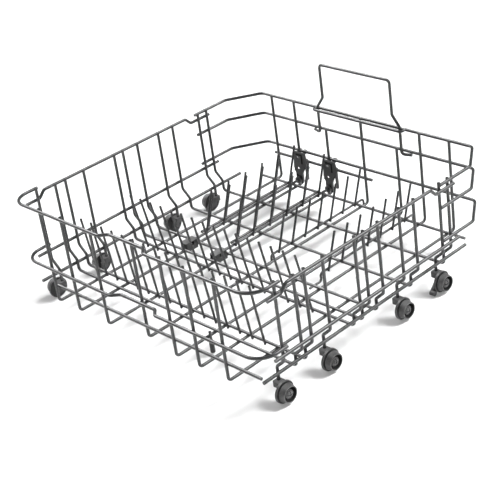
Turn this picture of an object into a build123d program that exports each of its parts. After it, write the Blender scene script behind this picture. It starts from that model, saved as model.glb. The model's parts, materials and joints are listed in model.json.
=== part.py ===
from build123d import *
import os

os.makedirs("parts", exist_ok=True)

# Overall size, over the outer wheel faces, and from the front rails to the clips behind the rear rails
basket_width = 530.0
basket_depth = 520.6

# Wire diameters, coating included
rail_d = 5.2
wire_d = 4.9
tine_d = 3.8
fold_d = 4.6
support_d = 5.0

# How far welded wires sink into each other, and the gap kept beside what moves
weld = 0.2
slip = 0.4
running_fit = 0.06

# Bend radii on the centre lines of the wires
wire_bend = 6.0
jog_bend = 7.0
front_corner = 30.0
rear_corner = 14.0

# Wheels: a flange, a narrow neck, a tapered drum, and a ring groove round the hub
wheel_radius = 17.0
wheel_flange = 3.4
drum_inner_radius = 14.5
drum_outer_radius = 12.5
wheel_width = 14.0
neck_radius = 13.0
neck_width = 1.8
groove_radius = 11.1
groove_depth = 10.0
hub_radius = 6.9
hub_recess = 2.5
wheel_share = (-0.4155, -0.2374, 0.0697, 0.2443)

# Wheel pin: split into four springy prongs with a lip that keeps the wheel on
pin_radius = 4.4
pin_lip = 0.9
lip_length = 2.0
slot_width = 1.2
slot_depth = 5.0

# Holder: a collar that grips a leg, over a plate that carries the wheel pin
holder_depth = 13.0
holder_wall = 2.6
holder_top = 31.0
holder_bottom = 9.0
holder_corner = 2.0
collar_bottom = 22.0
leg_back = 3.0
plate_thick = 4.4
skid_reach = 18.5
skid_radius = 4.0
skid_lift = 1.0
skid_proud = 4.0
skid_arm = 6.0

# Heights of the wires above the floor
length_wire_z = 28.5
lower_rail_z = 44.9
front_lower_z = 54.0
latch_rail_z = 71.0
middle_rail_z = 78.9
rear_third_z = 88.9
front_middle_z = 89.5
rear_second_z = 143.8
side_end_z = 170.5
rear_top_z = 180.6
side_top_z = 181.4
front_top_z = 189.5
wire_end = 1.6

# Side walls: the wall wires step in above the wheels
rail_inset = 3.2
foot_step = 15.5
step_top_z = 66.5
step_bottom_z = 52.5

# Side rails: how far their ends and dips lie behind the front rails and before the rear rails
lower_front_gap = 12.6
lower_rear_gap = 57.8
middle_front_gap = 24.8
middle_rear_gap = 90.8
top_front_gap = 25.1
top_rear_gap = 96.2
dip_front_gap = 50.6
dip_rear_gap = 138.8
dip_run = 11.0

# Front rails: rounded corners, returns along the sides and a shallow recess in the middle
front_return = 50.1
recess_half = 38.0
recess_run = 12.0
recess_depth = 11.0
front_lower_left_gap = 62.0
front_lower_right_gap = 18.0

# Rear rails: corners cut off at an angle, and returns along the sides
rear_return = 128.0
corner_cut_x = 37.3
corner_cut_y = 55.6
latch_rail_left_gap = 55.0
latch_rail_over = 9.5

# Floor wires, placed by their share of the basket's width and depth
rear_floor_inset = 25.8
rear_floor_gap = 44.0
length_wire_share = (-0.3717, -0.2726, -0.1415, 0.0085, 0.1462, 0.2377, 0.3472)
cross_wire_share = (-0.3411, -0.3027, -0.1087, -0.0732, -0.0136, 0.1373, 0.2881)
short_risers = (2, 4)

# Fixed tine rows across the basket
row_tines = 16
front_pitch = 25.3
front_first_x = 165.2
front_tine_top = 122.0
front_lean = 16.0
middle_pitch = 24.6
middle_first_x = 164.0
middle_tine_top = 119.5
middle_lean = 22.5
tine_foot = 2.4

# Fixed tine rows along the basket
right_row_step = 20.0
carrier_d = 4.0
carrier_bend = 5.0
carrier_nose_gap = 1.6
carrier_front_gap = 28.1
carrier_drop = 13.5
carrier_rear_gap = 6.2
carrier_hook = 12.0
long_row_tines = 7
long_first_gap = 14.0
long_last_gap = 26.1
long_lean = 22.0
long_tine_top = 95.0

# Folding tine rows, hinged on an axle along the basket
brace_rise = 6.0
fold_tines = 6
fold_first_gap = 19.8
fold_last_gap = 39.7
tall_top = 107.0
tall_lean = 25.0
short_top = 95.0
short_lean = 22.0
short_offset = 11.0
fold_foot = 1.5
brace_margin = 6.0

# Front bearing blocks, astride a length wire and snug between two cross wires, with moulded pockets
block_width = 15.0
block_wall = 2.2
block_skirt = 1.5
block_corner = 2.0
pocket_width = 9.0
pocket_height = 6.5
pocket_depth = 6.0
side_pocket_length = 9.0
side_pocket_depth = 3.8
axle_grip = 18.0

# Rear latches, hung on the third rear rail and the latch rail
latch_left = 8.0
latch_right = 16.0
latch_bulge = 11.0
latch_bulge_z = 60.0
latch_neck_z = 50.0
latch_thick = 4.0
latch_foot_width = 15.0
latch_wall = 4.0
latch_gap = 0.5
latch_chamfer = 3.4
latch_arm_reach = 20.0
latch_arm_width = 3.8
latch_arm_top = 67.0
latch_arm_low = 42.0
latch_eye = 2.4
latch_pinhole = 1.9
latch_web = 1.2
back_pocket = 4.5
pocket_aside = 2.0
pocket_below = 1.5
channel_width = 3.4
channel_depth = 3.0
channel_top = 87.5
channel_low = 69.5
channel_left = 3.5
channel_right = 11.5
nub_radius = 2.2
nub_out = 1.0
nub_z = 55.0
boss_proud = 5.0
clip_width = 6.0
clip_wall = 2.6
clip_spread = 12.0

# Sliding support loop behind the rear wall
loop_half = 74.0
loop_foot_half = 88.0
loop_top_z = 262.0
loop_kink_top = 204.0
loop_kink_bottom = 185.0
loop_toe = 17.0
loop_bend = 6.0
guide_half = 94.0

# Peg under the floor with its dark plastic cap
peg_back = 67.1
peg_d = 4.4
peg_top = 38.0
peg_floor_gap = 3.0
cap_radius = 3.8
cap_length = 20.0
cap_end = 1.4

# Places that follow from the sizes above
side_rail_x = basket_width / 2 - rail_inset
wall_x = side_rail_x - (rail_d + wire_d) / 2 + weld
foot_x = wall_x - foot_step
lower_rail_x = foot_x + (rail_d + wire_d) / 2 - weld
rear_rail_y = basket_depth / 2 - clip_wall - rail_d / 2
front_rail_y = -basket_depth / 2 + rail_d / 2
rear_riser_y = rear_rail_y - (rail_d + wire_d) / 2 + weld
front_riser_y = front_rail_y + (rail_d + wire_d) / 2 - weld
length_wire_x = [share * basket_width for share in length_wire_share]
cross_wire_y = [share * basket_depth for share in cross_wire_share]
wheel_y = [share * basket_depth for share in wheel_share]
fold_rows = (("outer", length_wire_x[1]), ("inner", length_wire_x[2]))
front_return_y = front_rail_y + front_return
dip_rear = rear_rail_y - dip_rear_gap
cross_wire_z = length_wire_z + wire_d - weld
wheel_outer_x = basket_width / 2
wheel_inner_x = wheel_outer_x - wheel_width
axle_z = cross_wire_z + wire_d / 2 + slip + fold_d / 2
brace_z = axle_z + brace_rise
tine_side = (fold_d + tine_d) / 2 - weld
loop_y = rear_rail_y - (rail_d + support_d) / 2 - slip
guide_y = loop_y - support_d - slip
toe_z = rear_second_z - (rail_d + support_d) / 2 - slip


def bent_wire(points, diameter, radius):
    """A round wire along straight runs joined by tangent arcs."""
    with BuildLine() as route:
        if len(points) == 2:
            Line(*points)
        else:
            FilletPolyline(*points, radius=radius)
    with BuildSketch(Plane(origin=route.line @ 0, z_dir=route.line % 0)) as ring:
        Circle(diameter / 2)
    sweep(ring.sketch, path=route.line)


def save(piece, name):
    """Label a finished piece and write it."""
    piece.part.label = name
    export_step(piece.part, f"parts/{name}.step")


# Front rails: one bent wire each, with returns along the side walls
front_path = [
    (-side_rail_x, front_return_y),
    (-side_rail_x, front_rail_y),
    (-recess_half - recess_run, front_rail_y),
    (-recess_half, front_rail_y + recess_depth),
    (recess_half, front_rail_y + recess_depth),
    (recess_half + recess_run, front_rail_y),
    (side_rail_x, front_rail_y),
    (side_rail_x, front_return_y),
]
front_bends = (front_corner, jog_bend, jog_bend, jog_bend, jog_bend, front_corner)
for name, height in (("front_top_rail", front_top_z), ("front_middle_rail", front_middle_z)):
    with BuildPart() as front_rail:
        bent_wire([(x, y, height) for x, y in front_path], rail_d, front_bends)
    save(front_rail, name)

# Front lower wire: straight, welded to the inner side of the front risers
front_lower_y = front_riser_y + wire_d - weld
front_lower_left = -basket_width / 2 + front_lower_left_gap
front_lower_right = basket_width / 2 - front_lower_right_gap
with BuildPart() as front_lower_wire:
    left_end = (front_lower_left, front_lower_y, front_lower_z)
    right_end = (front_lower_right, front_lower_y, front_lower_z)
    bent_wire([left_end, right_end], wire_d, wire_bend)
save(front_lower_wire, "front_lower_wire")

# Rear floor wire: straight, laid over the length wires in front of the rear wall
rear_floor_y = rear_rail_y - rear_floor_inset
rear_floor_half = basket_width / 2 - rear_floor_gap
with BuildPart() as rear_floor_wire:
    left_end = (-rear_floor_half, rear_floor_y, cross_wire_z)
    right_end = (rear_floor_half, rear_floor_y, cross_wire_z)
    bent_wire([left_end, right_end], wire_d, wire_bend)
save(rear_floor_wire, "rear_floor_wire")

# Rear rails: one bent wire each, with the corners cut off at an angle
rear_return_y = rear_rail_y - rear_return
cut_start_x = side_rail_x - corner_cut_x
cut_end_y = rear_rail_y - corner_cut_y
rear_path = [
    (-side_rail_x, rear_return_y),
    (-side_rail_x, cut_end_y),
    (-cut_start_x, rear_rail_y),
    (cut_start_x, rear_rail_y),
    (side_rail_x, cut_end_y),
    (side_rail_x, rear_return_y),
]
rear_rails = (("top", rear_top_z), ("second", rear_second_z), ("third", rear_third_z))
for name, height in rear_rails:
    with BuildPart() as rear_rail:
        bent_wire([(x, y, height) for x, y in rear_path], rail_d, rear_corner)
    save(rear_rail, f"rear_{name}_rail")

# Latch rail: a short rail under the third one, from the left wires to the middle one
latch_rail_left = -basket_width / 2 + latch_rail_left_gap
latch_rail_right = length_wire_x[3] + latch_rail_over
with BuildPart() as rear_latch_rail:
    left_end = (latch_rail_left, rear_rail_y, latch_rail_z)
    right_end = (latch_rail_right, rear_rail_y, latch_rail_z)
    bent_wire([left_end, right_end], rail_d, wire_bend)
save(rear_latch_rail, "rear_latch_rail")

# Guide wire: a staple that keeps the sliding loop against the rear top rail
with BuildPart() as rear_guide_wire:
    guide_path = [
        (-guide_half, rear_rail_y - rail_d / 2 + weld, rear_top_z),
        (-guide_half, guide_y, rear_top_z),
        (guide_half, guide_y, rear_top_z),
        (guide_half, rear_rail_y - rail_d / 2 + weld, rear_top_z),
    ]
    bent_wire(guide_path, support_d, support_d)
save(rear_guide_wire, "rear_guide_wire")

# Side rails, on the left and on the right
top_rail_front = front_rail_y + top_front_gap
top_rail_rear = rear_rail_y - top_rear_gap
dip_front = front_rail_y + dip_front_gap
middle_rail_front = front_rail_y + middle_front_gap
middle_rail_rear = rear_rail_y - middle_rear_gap
lower_rail_front = front_rail_y + lower_front_gap
lower_rail_rear = rear_rail_y - lower_rear_gap
for name, side in (("left", -1), ("right", 1)):
    with BuildPart() as top_rail:
        x = side * side_rail_x
        top_path = [
            (x, top_rail_front, side_end_z),
            (x, dip_front, side_end_z),
            (x, dip_front + dip_run, side_top_z),
            (x, dip_rear - dip_run, side_top_z),
            (x, dip_rear, side_end_z),
            (x, top_rail_rear, side_end_z),
        ]
        bent_wire(top_path, rail_d, jog_bend)
    save(top_rail, f"{name}_top_rail")

    with BuildPart() as middle_rail:
        x = side * side_rail_x
        front_end = (x, middle_rail_front, middle_rail_z)
        rear_end = (x, middle_rail_rear, middle_rail_z)
        bent_wire([front_end, rear_end], rail_d, wire_bend)
    save(middle_rail, f"{name}_middle_rail")

    with BuildPart() as lower_rail:
        x = side * lower_rail_x
        front_end = (x, lower_rail_front, lower_rail_z)
        rear_end = (x, lower_rail_rear, lower_rail_z)
        bent_wire([front_end, rear_end], rail_d, wire_bend)
    save(lower_rail, f"{name}_lower_rail")


def wall_top(y):
    """Height of a wall wire's upper end: it ends on the highest rail it meets."""
    if y < front_return_y:
        return front_top_z + wire_end
    if y > dip_rear:
        return rear_top_z + wire_end
    return side_top_z + wire_end


def wall_run(side, y, low):
    """Points of one side wall wire, from its top to its foot."""
    return [
        (side * wall_x, y, wall_top(y)),
        (side * wall_x, y, step_top_z),
        (side * foot_x, y, step_bottom_z),
        (side * foot_x, y, low),
    ]


# Cross wires: one wire each, down one wall, over the floor and up the other
cross_bends = (jog_bend, jog_bend, wire_bend, wire_bend, jog_bend, jog_bend)
for number, y in enumerate(cross_wire_y, 1):
    with BuildPart() as cross_wire:
        across = wall_run(-1, y, cross_wire_z) + wall_run(1, y, cross_wire_z)[::-1]
        bent_wire(across, wire_d, cross_bends)
    save(cross_wire, f"cross_wire_{number}")

# Length wires: up the front wall and up the rear wall
for number, x in enumerate(length_wire_x, 1):
    front_y = front_riser_y
    rear_top = rear_top_z + wire_end
    if abs(x) < recess_half:
        front_y = front_riser_y + recess_depth
    if number - 1 in short_risers:
        rear_top = rear_second_z + wire_end
    with BuildPart() as length_wire:
        along = [
            (x, front_y, front_top_z + wire_end),
            (x, front_y, length_wire_z),
            (x, rear_riser_y, length_wire_z),
            (x, rear_riser_y, rear_top),
        ]
        bent_wire(along, wire_d, wire_bend)
    save(length_wire, f"length_wire_{number}")

# Wheel legs: wall wires that run on down into the wheel holders, just behind the wheel pins
leg_end_z = collar_bottom + holder_wall
for name, side in (("left", -1), ("right", 1)):
    with BuildPart() as wheel_legs:
        for y in wheel_y:
            bent_wire(wall_run(side, y + leg_back, leg_end_z), wire_d, jog_bend)
    save(wheel_legs, f"{name}_wheel_legs")

# Wheel holders: a collar round the leg, a plate with the wheel's split pin, and a skid on the rearmost one
holder_outer_x = wheel_inner_x - slip
collar_inner_x = foot_x - wire_d / 2 - holder_wall
plate_inner_x = holder_outer_x - plate_thick
hub_end_x = wheel_outer_x - hub_recess
lip_x = hub_end_x + slip
pin_end_x = lip_x + lip_length
skid_z = skid_lift + skid_radius
for name, side in (("left", -1), ("right", 1)):
    with BuildPart() as wheel_holders:
        for number, y in enumerate(wheel_y):
            middle = (collar_inner_x + holder_outer_x) / 2
            with BuildSketch(Plane.XY.offset(collar_bottom)):
                with Locations((side * middle, y + leg_back / 2)):
                    RectangleRounded(holder_outer_x - collar_inner_x, holder_depth, holder_corner)
            extrude(amount=holder_top - collar_bottom)
            with BuildSketch(Plane.YZ.offset(side * plate_inner_x)):
                with Locations((y, (collar_bottom + holder_bottom) / 2)):
                    Rectangle(holder_depth, collar_bottom - holder_bottom)
                if number == len(wheel_y) - 1:
                    with BuildLine():
                        Polyline(
                            (y - holder_depth / 2, collar_bottom),
                            (y - skid_reach - skid_radius, skid_z),
                            (y - skid_reach + skid_radius, skid_z),
                            (y - holder_depth / 2 + skid_arm, holder_bottom),
                            close=True,
                        )
                    make_face()
                    with Locations((y - skid_reach, skid_z)):
                        Circle(skid_radius)
            extrude(amount=side * plate_thick)
            if number == len(wheel_y) - 1:
                with BuildSketch(Plane.YZ.offset(side * holder_outer_x)):
                    with Locations((y - skid_reach, skid_z)):
                        Circle(skid_radius)
                extrude(amount=side * skid_proud)
            with BuildSketch(Plane(origin=(0, y, wheel_radius), x_dir=(side, 0, 0), z_dir=(0, -side, 0))):
                with BuildLine():
                    Polyline(
                        (plate_inner_x, 0),
                        (plate_inner_x, pin_radius),
                        (lip_x, pin_radius),
                        (lip_x, pin_radius + pin_lip),
                        (pin_end_x, pin_radius - pin_lip),
                        (pin_end_x, 0),
                        close=True,
                    )
                make_face()
            revolve(axis=Axis((0, y, wheel_radius), (1, 0, 0)))
            with BuildSketch(Plane.YZ.offset(side * pin_end_x)):
                with Locations((y, wheel_radius)):
                    Rectangle(slot_width, 3 * pin_radius)
                    Rectangle(3 * pin_radius, slot_width)
            extrude(amount=-side * slot_depth, mode=Mode.SUBTRACT)
            with BuildSketch(Plane.XY.offset(leg_end_z)):
                with Locations((side * foot_x, y + leg_back)):
                    Circle(wire_d / 2 + running_fit)
            extrude(amount=holder_top - leg_end_z + wire_end, mode=Mode.SUBTRACT)
    save(wheel_holders, f"{name}_wheel_holders")

# Wheels: turned about the pin, with the ring groove in the outer face
for side_name, side in (("left", -1), ("right", 1)):
    for number, y in enumerate(wheel_y, 1):
        with BuildPart() as wheel:
            with BuildSketch(Plane(origin=(0, y, wheel_radius), x_dir=(side, 0, 0), z_dir=(0, -side, 0))):
                with BuildLine():
                    Polyline(
                        (wheel_inner_x, pin_radius + running_fit),
                        (wheel_inner_x, wheel_radius),
                        (wheel_inner_x + wheel_flange, wheel_radius),
                        (wheel_inner_x + wheel_flange, neck_radius),
                        (wheel_inner_x + wheel_flange + neck_width, neck_radius),
                        (wheel_inner_x + wheel_flange + neck_width, drum_inner_radius),
                        (wheel_outer_x, drum_outer_radius),
                        (wheel_outer_x, groove_radius),
                        (wheel_outer_x - groove_depth, groove_radius),
                        (wheel_outer_x - groove_depth, hub_radius),
                        (hub_end_x, hub_radius),
                        (hub_end_x, pin_radius + running_fit),
                        close=True,
                    )
                make_face()
            revolve(axis=Axis((0, y, wheel_radius), (1, 0, 0)))
        save(wheel, f"{side_name}_wheel_{number}")


def tine_row(y, first_x, pitch, lean, top):
    """Leaning tines welded to the front of one cross wire."""
    for index in range(row_tines):
        x = first_x - index * pitch
        foot = (x, y, cross_wire_z - tine_foot)
        bent_wire([foot, (x - lean, y, top)], tine_d, tine_d)


# Tines across the basket, in front of two of the cross wires
tine_front = (wire_d + tine_d) / 2 - weld
with BuildPart() as front_tines:
    row_y = cross_wire_y[1] - tine_front
    tine_row(row_y, front_first_x, front_pitch, front_lean, front_tine_top)
save(front_tines, "front_tines")

with BuildPart() as middle_tines:
    row_y = cross_wire_y[2] - tine_front
    tine_row(row_y, middle_first_x, middle_pitch, middle_lean, middle_tine_top)
save(middle_tines, "middle_tines")

# Fixed rows along the basket: a carrier with a dropped nose, and its tines
carrier_z = cross_wire_z + (wire_d + carrier_d) / 2 - weld
centre_row_x = length_wire_x[3] - (wire_d + carrier_d) / 2 + weld
right_row_x = length_wire_x[5] - right_row_step
carrier_nose = cross_wire_y[4] + carrier_nose_gap
carrier_front = cross_wire_y[4] + carrier_front_gap
carrier_rear = rear_riser_y - carrier_rear_gap
long_first_y = carrier_front + long_first_gap
long_pitch = (carrier_rear - long_last_gap - long_first_y) / (long_row_tines - 1)
for name, x in (("centre", centre_row_x), ("right", right_row_x)):
    with BuildPart() as carrier:
        carrier_path = [
            (x, carrier_nose, carrier_z - carrier_drop),
            (x, carrier_front, carrier_z - carrier_drop),
            (x, carrier_front, carrier_z),
            (x, carrier_rear, carrier_z),
            (x, carrier_rear, carrier_z - carrier_hook),
        ]
        bent_wire(carrier_path, carrier_d, carrier_bend)
    save(carrier, f"{name}_carrier")

    with BuildPart() as long_tines:
        tine_x = x + (carrier_d + tine_d) / 2 - weld
        for index in range(long_row_tines):
            y = long_first_y + index * long_pitch
            foot = (tine_x, y, carrier_z - tine_d / 2)
            bent_wire([foot, (tine_x, y + long_lean, long_tine_top)], tine_d, tine_d)
    save(long_tines, f"{name}_tines")

# Folding rows: an axle, a brace above it and tines on both sides of the two
block_front = cross_wire_y[3] + wire_d / 2 + running_fit
block_rear = cross_wire_y[4] - wire_d / 2 - running_fit
latch_back = rear_riser_y - wire_d / 2 - latch_gap
latch_front = latch_back - latch_thick
axle_front = block_rear - axle_grip
fold_first_y = cross_wire_y[4] + fold_first_gap
fold_pitch = (rear_riser_y - fold_last_gap - fold_first_y) / (fold_tines - 1)
brace_end = fold_first_y + (fold_tines - 1) * fold_pitch + brace_margin
for name, x in fold_rows:
    with BuildPart() as fold_axle:
        bent_wire([(x, axle_front, axle_z), (x, latch_back, axle_z)], fold_d, wire_bend)
    save(fold_axle, f"{name}_fold_axle")

    with BuildPart() as fold_brace:
        bent_wire([(x, fold_first_y - brace_margin, brace_z), (x, brace_end, brace_z)], fold_d, wire_bend)
    save(fold_brace, f"{name}_fold_brace")

    with BuildPart() as folding_tines:
        for index in range(fold_tines):
            y = fold_first_y + index * fold_pitch
            foot = (x + tine_side, y, axle_z - fold_foot)
            bent_wire([foot, (x + tine_side, y + tall_lean, tall_top)], tine_d, tine_d)
        for index in range(fold_tines - 1):
            y = fold_first_y + index * fold_pitch + short_offset
            foot = (x - tine_side, y, axle_z - fold_foot)
            bent_wire([foot, (x - tine_side, y + short_lean, short_top)], tine_d, tine_d)
    save(folding_tines, f"{name}_fold_tines")

# Bearing blocks: astride a length wire, bored from behind for the axle
block_top = axle_z + fold_d / 2 + block_wall
block_bottom = length_wire_z - block_skirt
for name, x in fold_rows:
    with BuildPart() as row_bearing:
        with BuildSketch(Plane.XY.offset(block_bottom)):
            with Locations((x, (block_front + block_rear) / 2)):
                RectangleRounded(block_width, block_rear - block_front, block_corner)
        extrude(amount=block_top - block_bottom)
        with BuildSketch(Plane.XZ.offset(-block_rear)):
            with Locations((x, length_wire_z)):
                Circle(wire_d / 2 + running_fit)
            with Locations((x, block_bottom)):
                Rectangle(wire_d + 2 * running_fit, 2 * block_skirt)
        extrude(amount=block_rear - block_front, mode=Mode.SUBTRACT)
        with BuildSketch(Plane.XZ.offset(-block_rear)):
            with Locations((x, axle_z)):
                Circle(fold_d / 2 + running_fit)
        extrude(amount=axle_grip + slip, mode=Mode.SUBTRACT)
        with BuildSketch(Plane.XZ.offset(-block_front)):
            with Locations((x, axle_z)):
                RectangleRounded(pocket_width, pocket_height, block_corner)
        extrude(amount=-pocket_depth, mode=Mode.SUBTRACT)
        with BuildSketch(Plane.YZ.offset(x + block_width / 2)):
            with Locations(((block_front + block_rear) / 2, axle_z)):
                RectangleRounded(side_pocket_length, pocket_height, block_corner)
        extrude(amount=-side_pocket_depth, mode=Mode.SUBTRACT)
    save(row_bearing, f"{name}_row_bearing")

# Latches: a plate with a spring arm, a hooked channel, a bearing boss and clips that hook behind the rails
latch_top = rear_third_z + rail_d / 4
latch_low = axle_z - fold_d / 2 - latch_wall
boss_radius = fold_d / 2 + latch_wall
eye_z = (latch_rail_z + rear_third_z) / 2
clip_back = rear_rail_y + rail_d / 2 + clip_wall
for name, x in fold_rows:
    with BuildPart() as row_latch:
        with BuildSketch(Plane.XZ.offset(-latch_back)):
            with BuildLine():
                Polyline(
                    (x - latch_left, latch_top),
                    (x - latch_bulge, latch_bulge_z),
                    (x - latch_foot_width / 2, latch_neck_z),
                    (x - latch_foot_width / 2, latch_low),
                    (x + latch_foot_width / 2, latch_low),
                    (x + latch_foot_width / 2, latch_neck_z),
                    (x + latch_arm_reach - latch_arm_width, latch_arm_top),
                    (x + latch_arm_reach - latch_arm_width, latch_arm_low),
                    (x + latch_arm_reach, latch_arm_low),
                    (x + latch_arm_reach, latch_rail_z),
                    (x + latch_right, latch_top),
                    close=True,
                )
            make_face()
        extrude(amount=latch_thick)
        foot_edges = row_latch.edges().filter_by(Axis.X).group_by(Axis.Z)[0]
        chamfer(foot_edges.sort_by(Axis.Y)[-1], latch_chamfer)
        with BuildSketch(Plane.XZ.offset(-latch_front)):
            with Locations((x, axle_z)):
                Circle(boss_radius)
        extrude(amount=boss_proud)
        with BuildSketch(Plane.XZ.offset(-latch_back)):
            with Locations((x - latch_foot_width / 2 - nub_out, nub_z)):
                Circle(nub_radius)
        extrude(amount=latch_thick)
        with BuildSketch(Plane.XZ.offset(-latch_back)):
            with Locations((x, axle_z)):
                Circle(fold_d / 2 + running_fit)
            with Locations((x, latch_bulge_z)):
                Circle(latch_pinhole)
            with Locations((x, eye_z)):
                Circle(latch_eye)
        extrude(amount=latch_thick + boss_proud, mode=Mode.SUBTRACT)
        with BuildSketch(Plane.XZ.offset(-latch_back)):
            for hole_z in (latch_bulge_z, eye_z):
                with Locations((x - pocket_aside, hole_z - pocket_below)):
                    Circle(back_pocket)
        extrude(amount=latch_thick - latch_web, mode=Mode.SUBTRACT)
        with BuildSketch(Plane.XZ.offset(-latch_front)):
            with BuildLine():
                Polyline(
                    (x - channel_left, channel_top),
                    (x + channel_right, channel_top),
                    (x + channel_right, channel_low),
                    (x + channel_right - channel_width, channel_low),
                    (x + channel_right - channel_width, channel_top - channel_width),
                    (x - channel_left, channel_top - channel_width),
                    close=True,
                )
            make_face()
        extrude(amount=-channel_depth, mode=Mode.SUBTRACT)
        for offset in (-clip_spread / 2, clip_spread / 2):
            for rail_z in (rear_third_z, latch_rail_z):
                with BuildSketch(Plane.YZ.offset(x + offset - clip_width / 2)):
                    with BuildLine():
                        Polyline(
                            (latch_back, rail_z - rail_d / 2 - running_fit),
                            (latch_back, rail_z - rail_d / 2 - running_fit - clip_wall),
                            (clip_back, rail_z - rail_d / 2 - running_fit - clip_wall),
                            (clip_back, rail_z + rail_d / 4),
                            (clip_back - clip_wall + running_fit, rail_z + rail_d / 4),
                            (clip_back - clip_wall + running_fit, rail_z - rail_d / 2 - running_fit),
                            close=True,
                        )
                    make_face()
                extrude(amount=clip_width)
    save(row_latch, f"{name}_row_latch")

# Support loop: slides up and down between the guide wire and the rear top rail
toe_y = rear_rail_y
with BuildPart() as rear_support:
    loop_path = [
        (-loop_foot_half - loop_toe, toe_y, toe_z),
        (-loop_foot_half, loop_y, toe_z),
        (-loop_foot_half, loop_y, loop_kink_bottom),
        (-loop_half, loop_y, loop_kink_top),
        (-loop_half, loop_y, loop_top_z),
        (loop_half, loop_y, loop_top_z),
        (loop_half, loop_y, loop_kink_top),
        (loop_foot_half, loop_y, loop_kink_bottom),
        (loop_foot_half, loop_y, toe_z),
        (loop_foot_half + loop_toe, toe_y, toe_z),
    ]
    bent_wire(loop_path, support_d, loop_bend)
save(rear_support, "rear_support")

# Peg beside one length wire, with a plastic cap on its lower end
peg_x = length_wire_x[4] + (wire_d + peg_d) / 2 - weld
peg_y = front_rail_y + peg_back
peg_low = peg_floor_gap + cap_end
with BuildPart() as front_peg:
    bent_wire([(peg_x, peg_y, peg_low), (peg_x, peg_y, peg_top)], peg_d, wire_bend)
save(front_peg, "front_peg")

with BuildPart() as peg_cap:
    with BuildSketch(Plane.XY.offset(peg_floor_gap)):
        with Locations((peg_x, peg_y)):
            Circle(cap_radius)
    extrude(amount=cap_length)
    with BuildSketch(Plane.XY.offset(peg_low)):
        with Locations((peg_x, peg_y)):
            Circle(peg_d / 2)
    extrude(amount=cap_length, mode=Mode.SUBTRACT)
save(peg_cap, "peg_cap")
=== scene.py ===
"""Looks of a grey wire dishwasher basket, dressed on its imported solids."""
import json
import logging
import math
from collections.abc import Iterable, Sequence
from dataclasses import dataclass
from enum import Enum

import bmesh
import bpy
from mathutils import Matrix, Vector
from mathutils.bvhtree import BVHTree

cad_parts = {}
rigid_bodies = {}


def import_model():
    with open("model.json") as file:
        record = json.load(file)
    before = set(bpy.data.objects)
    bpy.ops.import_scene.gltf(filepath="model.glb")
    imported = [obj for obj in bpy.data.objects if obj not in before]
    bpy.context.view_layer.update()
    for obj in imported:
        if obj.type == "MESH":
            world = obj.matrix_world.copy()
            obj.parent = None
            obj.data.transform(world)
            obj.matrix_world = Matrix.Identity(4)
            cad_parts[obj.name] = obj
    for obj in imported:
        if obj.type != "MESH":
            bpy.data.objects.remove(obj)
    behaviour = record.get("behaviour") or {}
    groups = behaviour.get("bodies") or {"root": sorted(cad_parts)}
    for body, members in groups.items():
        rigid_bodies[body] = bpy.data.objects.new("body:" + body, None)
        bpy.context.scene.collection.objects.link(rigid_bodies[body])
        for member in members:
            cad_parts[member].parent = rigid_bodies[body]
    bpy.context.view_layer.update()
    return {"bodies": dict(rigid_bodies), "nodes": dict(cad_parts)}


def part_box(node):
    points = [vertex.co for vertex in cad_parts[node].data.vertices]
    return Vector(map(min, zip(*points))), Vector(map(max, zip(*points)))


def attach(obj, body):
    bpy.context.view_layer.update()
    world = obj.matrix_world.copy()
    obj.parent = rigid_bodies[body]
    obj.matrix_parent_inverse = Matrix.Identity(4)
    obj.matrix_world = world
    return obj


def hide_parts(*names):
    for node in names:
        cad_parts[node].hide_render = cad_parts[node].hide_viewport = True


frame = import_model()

LOG = logging.getLogger("dishwasher_basket")
MM = 0.001
WHITE = (1.0, 1.0, 1.0, 1.0)
Triple = tuple[float, float, float]

# Face-corner attributes that the finishes read: paleness of worn edges with painted light, also on lit
# tops and on pin and hub ends, and painted shade in hollows
WEAR_AND_LIGHT_MARKS = "wear_and_light_marks"
PAINTED_SHADE = "painted_shade"

# Sockets of a colour mix node, whose names its number sockets share
MIX_FIRST = 6
MIX_SECOND = 7
MIX_COLOUR = 2

# Nodes of the frame that aren't bare wire, and the rows whose tines end in a bead
MOULDED = {"left_wheel_holders", "right_wheel_holders", "outer_row_bearing", "inner_row_bearing",
           "outer_row_latch", "inner_row_latch", "peg_cap"}
TINE_ROWS = ("front_tines", "middle_tines", "centre_tines", "right_tines",
             "outer_fold_tines", "inner_fold_tines")


class Slot(Enum):
    """Material slots of the record that the pieces take their finish from."""

    WIRE = "coated_wire"
    BLACK = "black_plastic"
    HOLDER = "holder_plastic"
    WHEEL = "wheel_plastic"


class Side(Enum):
    """The two long sides of the basket, by their sign along X."""

    LEFT = -1
    RIGHT = 1


class FallsOn(Enum):
    """What a lamp falls on."""

    ALL = "all"
    BASKET = "basket"
    FLOOR = "floor"


def smooth_window(tree: bpy.types.NodeTree, value: bpy.types.NodeSocket,
                  low: float, high: float) -> bpy.types.NodeSocket:
    """Ease a value from 0 at one level to 1 at another.

    Args:
        tree: The node tree to add to.
        value: The value to ease.
        low: Level that gives 0.
        high: Level that gives 1.

    Returns:
        The eased value.
    """
    window = tree.nodes.new("ShaderNodeMapRange")
    window.interpolation_type = "SMOOTHSTEP"
    window.inputs["From Min"].default_value = low
    window.inputs["From Max"].default_value = high
    tree.links.new(value, window.inputs["Value"])
    return window.outputs["Result"]


def math_node(tree: bpy.types.NodeTree, operation: str,
              *terms: bpy.types.NodeSocket | float) -> bpy.types.NodeSocket:
    """Add a sum or product of values.

    Args:
        tree: The node tree to add to.
        operation: Name of the operation.
        terms: Values or numbers, in the operation's order.

    Returns:
        The result.
    """
    node = tree.nodes.new("ShaderNodeMath")
    node.operation = operation
    for socket, term in zip(node.inputs, terms):
        if isinstance(term, float):
            socket.default_value = term
        else:
            tree.links.new(term, socket)
    return node.outputs[0]


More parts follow.
